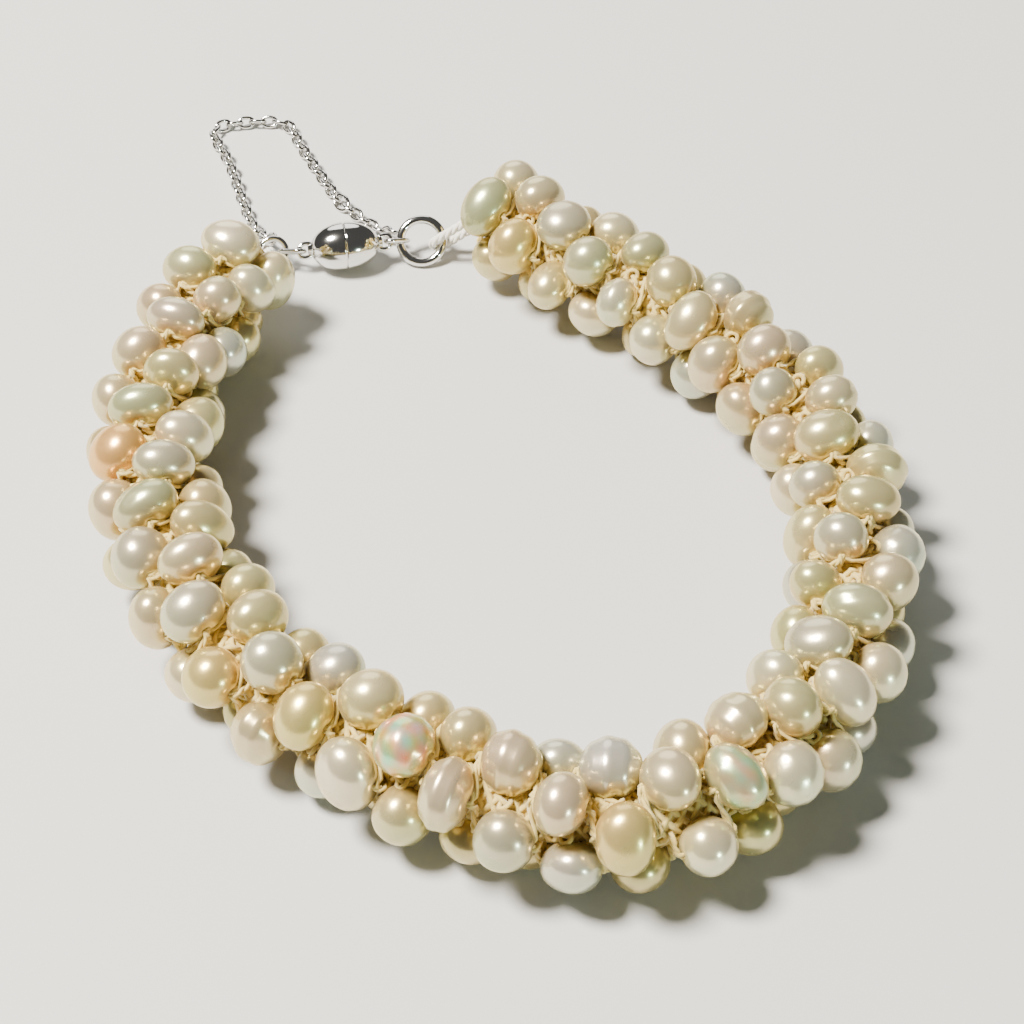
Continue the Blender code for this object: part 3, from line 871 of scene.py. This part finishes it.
# %% The two halves of the clasp
CLASP_CENTRE = np.array([-15.7, 41.0, 2.37])
CLASP_YAW = math.radians(10.0)
CLASP_HALF_LENGTH = 3.4
CLASP_RADIUS = 2.35
CLASP_SEAM = 0.06
CLASP_LOOP_RADIUS = 0.7
CLASP_LOOP_PAST_TIP = 0.45
CLASP_SIDES = 64
OLIVE_POINTS = 48
OLIVE_POWER = 2.1
CROWDED_AT_SEAM = 1.6
GROOVE_DEPTH = 0.05
GROOVE_WIDTH = 0.06
COLLAR_RADIUS = 0.55
COLLAR_LENGTH = 0.25
COLLAR_EDGE = 0.06
COLLAR_TAPER = 0.85
FINE_WIRE = 0.22
FINE_WIRE_SIDES = 12
SOLDERED_LOOP_POINTS = 40
RING_TILT = math.radians(45.0)
ACROSS = np.array([1.0, 0.0, 0.0])
LEANING = np.array([0.0, math.cos(RING_TILT), math.sin(RING_TILT)])
RING_NORMAL = np.cross(ACROSS, LEANING)
CLASP_AXIS = np.array([math.cos(CLASP_YAW), math.sin(CLASP_YAW), 0.0])


def ring_paths(centre, radius, across, up, count):
    """Point = centre + radius * (across * cos a + up * sin a)."""
    a = np.linspace(0, math.tau, count, endpoint=False)[:, None]
    return (centre + radius * (across * np.cos(a) + up * np.sin(a)))[None]


def half_olive(side):
    """Distance d from the seam: radius = R * (1 - (d / H)^2.1)^0.5, less a groove by the seam."""
    rise = np.linspace(0, 1, OLIVE_POINTS)[:-1] ** CROWDED_AT_SEAM
    distance = CLASP_SEAM / 2 + (CLASP_HALF_LENGTH - CLASP_SEAM / 2) * rise
    radius = CLASP_RADIUS * np.sqrt(1 - (distance / CLASP_HALF_LENGTH) ** OLIVE_POWER)
    radius = np.maximum(radius, COLLAR_RADIUS)
    from_seam = distance - CLASP_SEAM / 2
    radius = radius - GROOVE_DEPTH * np.exp(-((from_seam / GROOVE_WIDTH) ** 2))
    tip = CLASP_HALF_LENGTH + COLLAR_LENGTH
    distance = np.concatenate([distance, [tip - COLLAR_EDGE, tip]])
    radius = np.concatenate([radius, [COLLAR_RADIUS, COLLAR_RADIUS * COLLAR_TAPER]])
    b = np.linspace(0, math.tau, CLASP_SIDES, endpoint=False)[:, None]
    flat = np.cross([0, 0, 1.0], CLASP_AXIS)
    circle = flat * np.cos(b) + np.array([0, 0, 1.0]) * np.sin(b)
    centres = CLASP_CENTRE + CLASP_AXIS * side * distance[:, None]
    points = centres[:, None] + radius[:, None, None] * circle
    points = np.concatenate([points.reshape(-1, 3), centres[:1], centres[-1:]])
    return points, strip_faces(1, len(radius), CLASP_SIDES, False)


for name, side in (("clasp_half_left", -1), ("clasp_half_right", 1)):
    loop_centre = CLASP_CENTRE + CLASP_AXIS * side * (CLASP_HALF_LENGTH + CLASP_LOOP_PAST_TIP)
    loop = ring_paths(
        loop_centre, CLASP_LOOP_RADIUS, CLASP_AXIS, LEANING, SOLDERED_LOOP_POINTS
    )
    facing = np.cross(CLASP_AXIS, LEANING)
    wire = tubes(loop, facing, FINE_WIRE, FINE_WIRE_SIDES, True)
    make_piece("polished_" + name, joined([half_olive(side), wire]), [SILVER], [name])

# %% [markdown]
# ## Rings, links and thread loops
#
# A jump ring joins each end of the rope to the clasp: an oval link hooks ring and clasp
# together, and a bare loop of thread goes round the ring's other side. An oval link is two arcs
# joined by straights, spaced evenly so that its wire has no kinks.

# %% Jump rings, the links beside them and the loops of thread
# Centre, radius of the ring, radius of its wire, and which side of the clasp it is on.
JUMP_RINGS = {
    "left": (np.array([-22.7, 40.6, 2.0]), 1.3, 0.3, -1),
    "right": (np.array([-8.3, 42.3, 2.0]), 2.1, 0.43, 1),
}
RING_POINTS = 72
RING_SIDES = 16
LINK_CLEARANCE = 0.14
LINK_POINTS = 56
ARC_POINTS = 24
LOOP_THREAD_RADIUS = 0.4
THREAD_CLEARANCE = 0.24
LOOP_POINTS = 96
LOOP_PLIES = 3
LOOP_PLY = 0.23
LOOP_PLY_SIDES = 8
LOOP_PLY_TURNS = 7
LOOP_INSIDE = 1.2
LOOP_DROP = 0.3


def oval(start, start_radius, end, end_radius, normal, count):
    """An arc about each centre, joined by straights, then spread evenly by interpolation."""
    ahead = unit(end - start)
    side = np.cross(unit(normal - normal @ ahead * ahead), ahead)
    arcs = []
    for centre, radius, first in ((end, end_radius, -90), (start, start_radius, 90)):
        angle = np.radians(first + np.linspace(0, 180, ARC_POINTS))[:, None]
        arcs.append(centre + radius * (np.cos(angle) * ahead + np.sin(angle) * side))
    outline = np.concatenate([*arcs, arcs[0][:1]])
    run = np.concatenate([[0], np.cumsum(np.linalg.norm(np.diff(outline, axis=0), axis=1))])
    at = np.linspace(0, run[-1], count, endpoint=False)
    return np.stack([np.interp(at, run, outline[:, i]) for i in range(3)], axis=1)[None]


def end_of_rope(side):
    """Where the thread leaves the rope, and the direction in which it leaves."""
    plan, along = rope_at(np.array([ROPE_ENDS[0] if side < 0 else ROPE_ENDS[1]]))
    return np.array([*plan[0], ROPE_HEIGHT - LOOP_DROP]), side * np.array([*along[0], 0])


for half_name, (centre, radius, thickness, side) in JUMP_RINGS.items():
    ring = ring_paths(centre, radius, ACROSS, LEANING, RING_POINTS)
    ring = tubes(ring, RING_NORMAL, thickness, RING_SIDES, True)
    make_piece("bright_ring_" + half_name, ring, [SILVER], ["jump_ring_" + half_name])
    wire_out = CLASP_HALF_LENGTH + CLASP_LOOP_PAST_TIP + CLASP_LOOP_RADIUS
    clasp_wire = CLASP_CENTRE + CLASP_AXIS * side * wire_out
    link = oval(
        clasp_wire, 2 * FINE_WIRE + LINK_CLEARANCE, centre - ACROSS * side * radius,
        thickness + FINE_WIRE + LINK_CLEARANCE, LEANING, LINK_POINTS,
    )
    link = tubes(link, LEANING, FINE_WIRE, FINE_WIRE_SIDES, True)
    make_piece("bright_link_" + half_name, link, [SILVER], ["link_" + half_name])
    rope_end, heading = end_of_rope(side)
    far = thickness + THREAD_CLEARANCE + LOOP_THREAD_RADIUS
    loop = oval(
        rope_end - heading * LOOP_INSIDE, far, centre + ACROSS * side * radius, far, LEANING,
        LOOP_POINTS,
    )
    wound = plies(loop, LEANING, LOOP_PLIES, LOOP_PLY, LOOP_PLY_TURNS, True)
    wound = tubes(wound, LEANING, LOOP_PLY, LOOP_PLY_SIDES, True)
    make_piece("thread_loop_" + half_name, wound, [WHITE_THREAD], ["pearl_rope_" + half_name])

# %% [markdown]
# ## The safety chain
#
# The chain is cable chain: small oval links, each turned a quarter turn from the last, so that
# they lie slanting by half a right angle. The links follow the line that the chain takes on the
# table, behind the clasp. One larger link, near the clasp's right side, joins the two lengths
# that the chain is made of.

# %% Links along the chain's line
CHAIN_ROUTE = (
    (-23.0, 42.6, 2.0), (-25.0, 45.8, 0.72), (-26.8, 51.0, 0.63), (-28.6, 57.0, 0.63),
    (-30.6, 62.2, 0.63), (-28.4, 63.9, 0.63), (-23.4, 63.8, 0.63), (-21.3, 59.6, 0.63),
    (-18.9, 54.5, 0.63), (-16.9, 50.6, 0.63), (-14.6, 47.8, 0.63), (-12.6, 45.6, 0.72),
    (-11.2, 44.0, 1.7),
)
CHAIN_ROUTE_STEP = 0.1
CHAIN_PITCH = 1.2
CHAIN_LINK_POINTS = 20
CHAIN_WIRE_SIDES = 7
CHAIN_WIRE = 0.19
CHAIN_HALF_LENGTH = 0.8
CHAIN_HALF_WIDTH = 0.52
CHAIN_ROLL = math.radians(45.0)
LARGE_LINK_FROM_END = 7
LARGE_LINK_SIZE = 1.35


def chain_links():
    """Path = place + size * (along * a cos t + across * b sin t), across rolled to and fro."""
    points, run = smooth_route(CHAIN_ROUTE, CHAIN_ROUTE_STEP)
    count = round(run[-1] / CHAIN_PITCH)
    at = np.linspace(0, run[-1], count + 1)
    place = np.stack([np.interp(at, run, points[:, i]) for i in range(3)], axis=1)
    along = unit(np.gradient(place, axis=0))
    flat = unit(np.cross([0, 0, 1.0], along))
    rise = np.cross(along, flat)
    roll = (CHAIN_ROLL * np.where(np.arange(count + 1) % 2, 1, -1))[:, None]
    across = flat * np.cos(roll) + rise * np.sin(roll)
    large = np.arange(count + 1) == count - LARGE_LINK_FROM_END
    size = np.where(large, LARGE_LINK_SIZE, 1.0)[:, None, None]
    t = np.linspace(0, math.tau, CHAIN_LINK_POINTS, endpoint=False)[:, None]
    paths = (place[:, None] + along[:, None] * CHAIN_HALF_LENGTH * size * np.cos(t)
             + across[:, None] * CHAIN_HALF_WIDTH * size * np.sin(t))
    facing = np.cross(along, across)[:, None]
    return tubes(paths, facing, CHAIN_WIRE, CHAIN_WIRE_SIDES, True)


make_piece("cable_chain", chain_links(), [SILVER], ["safety_chain"])

# %% [markdown]
# ## Table, light and camera
#
# A plain pale table and a soft window-like light show the pearls best: one lamp high on the left
# gives each pearl its gleam, a small greenish one, low in front on the right, gives the second,
# weaker gleam, and a wide dim one behind lights the metal's far side. The camera looks down at
# half a right angle, as the bracelet was seen.

# %% The table
TABLE_HALF = 4.0


def table():
    """A square of four corners under the bracelet."""
    corners = np.array([[-1, -1, 0], [1, -1, 0], [1, 1, 0], [-1, 1, 0]]) * TABLE_HALF
    mesh = bpy.data.meshes.new("table")
    mesh.from_pydata(corners.tolist(), [], [(0, 1, 2, 3)])
    look, _, _ = new_look("pale_table", Base_Color=(0.52, 0.515, 0.50, 1), Roughness=0.65)
    mesh.materials.append(look)
    made = bpy.data.objects.new("table", mesh)
    bpy.context.scene.collection.objects.link(made)
    return made


table()

# %% The lamps and the camera
# Place, width in metres, watts and colour.
LAMPS = {
    "window": ((-0.33, -0.02, 0.62), 0.20, 24.0, (1.0, 0.95, 0.86)),
    "far_window": ((0.42, -0.52, 0.12), 0.06, 1.8, (0.74, 1.0, 0.92)),
    "back_fill": ((-0.10, 0.75, 0.40), 0.60, 2.4, (1.0, 0.97, 0.93)),
}
BRACELET_MIDDLE = np.array([0.0, 0.0, 0.005])
AIR_COLOUR = (1.0, 0.98, 0.95, 1)
AIR_LIGHT = 0.08
CAMERA_PLACE = (0.00152, -0.14576, 0.13831)
CAMERA_TILT = math.radians(45.0)
CAMERA_LENS = 78.78
CAMERA_SENSOR = 36.0


def aim_at_middle(place):
    """The turn that points a lamp's -Z axis at the bracelet."""
    away = unit(np.array(place) - BRACELET_MIDDLE)
    return (math.acos(away[2]), 0.0, math.atan2(away[1], away[0]) + math.pi / 2)


for name, (place, size, power, colour) in LAMPS.items():
    light = bpy.data.lights.new(name, "AREA")
    light.shape = "DISK"
    light.size, light.energy, light.color = size, power, colour
    lamp = bpy.data.objects.new(name, light)
    lamp.location = place
    lamp.rotation_euler = aim_at_middle(place)
    bpy.context.scene.collection.objects.link(lamp)

world = bpy.data.worlds.new("studio_air")
world.use_nodes = True
air = world.node_tree.nodes["Background"]
air.inputs["Color"].default_value = AIR_COLOUR
air.inputs["Strength"].default_value = AIR_LIGHT
bpy.context.scene.world = world

lens = bpy.data.cameras.new("camera")
lens.lens, lens.sensor_width, lens.clip_start = CAMERA_LENS, CAMERA_SENSOR, 0.01
camera = bpy.data.objects.new("camera", lens)
camera.location = CAMERA_PLACE
camera.rotation_euler = (CAMERA_TILT, 0.0, 0.0)
bpy.context.scene.collection.objects.link(camera)
bpy.context.scene.camera = camera
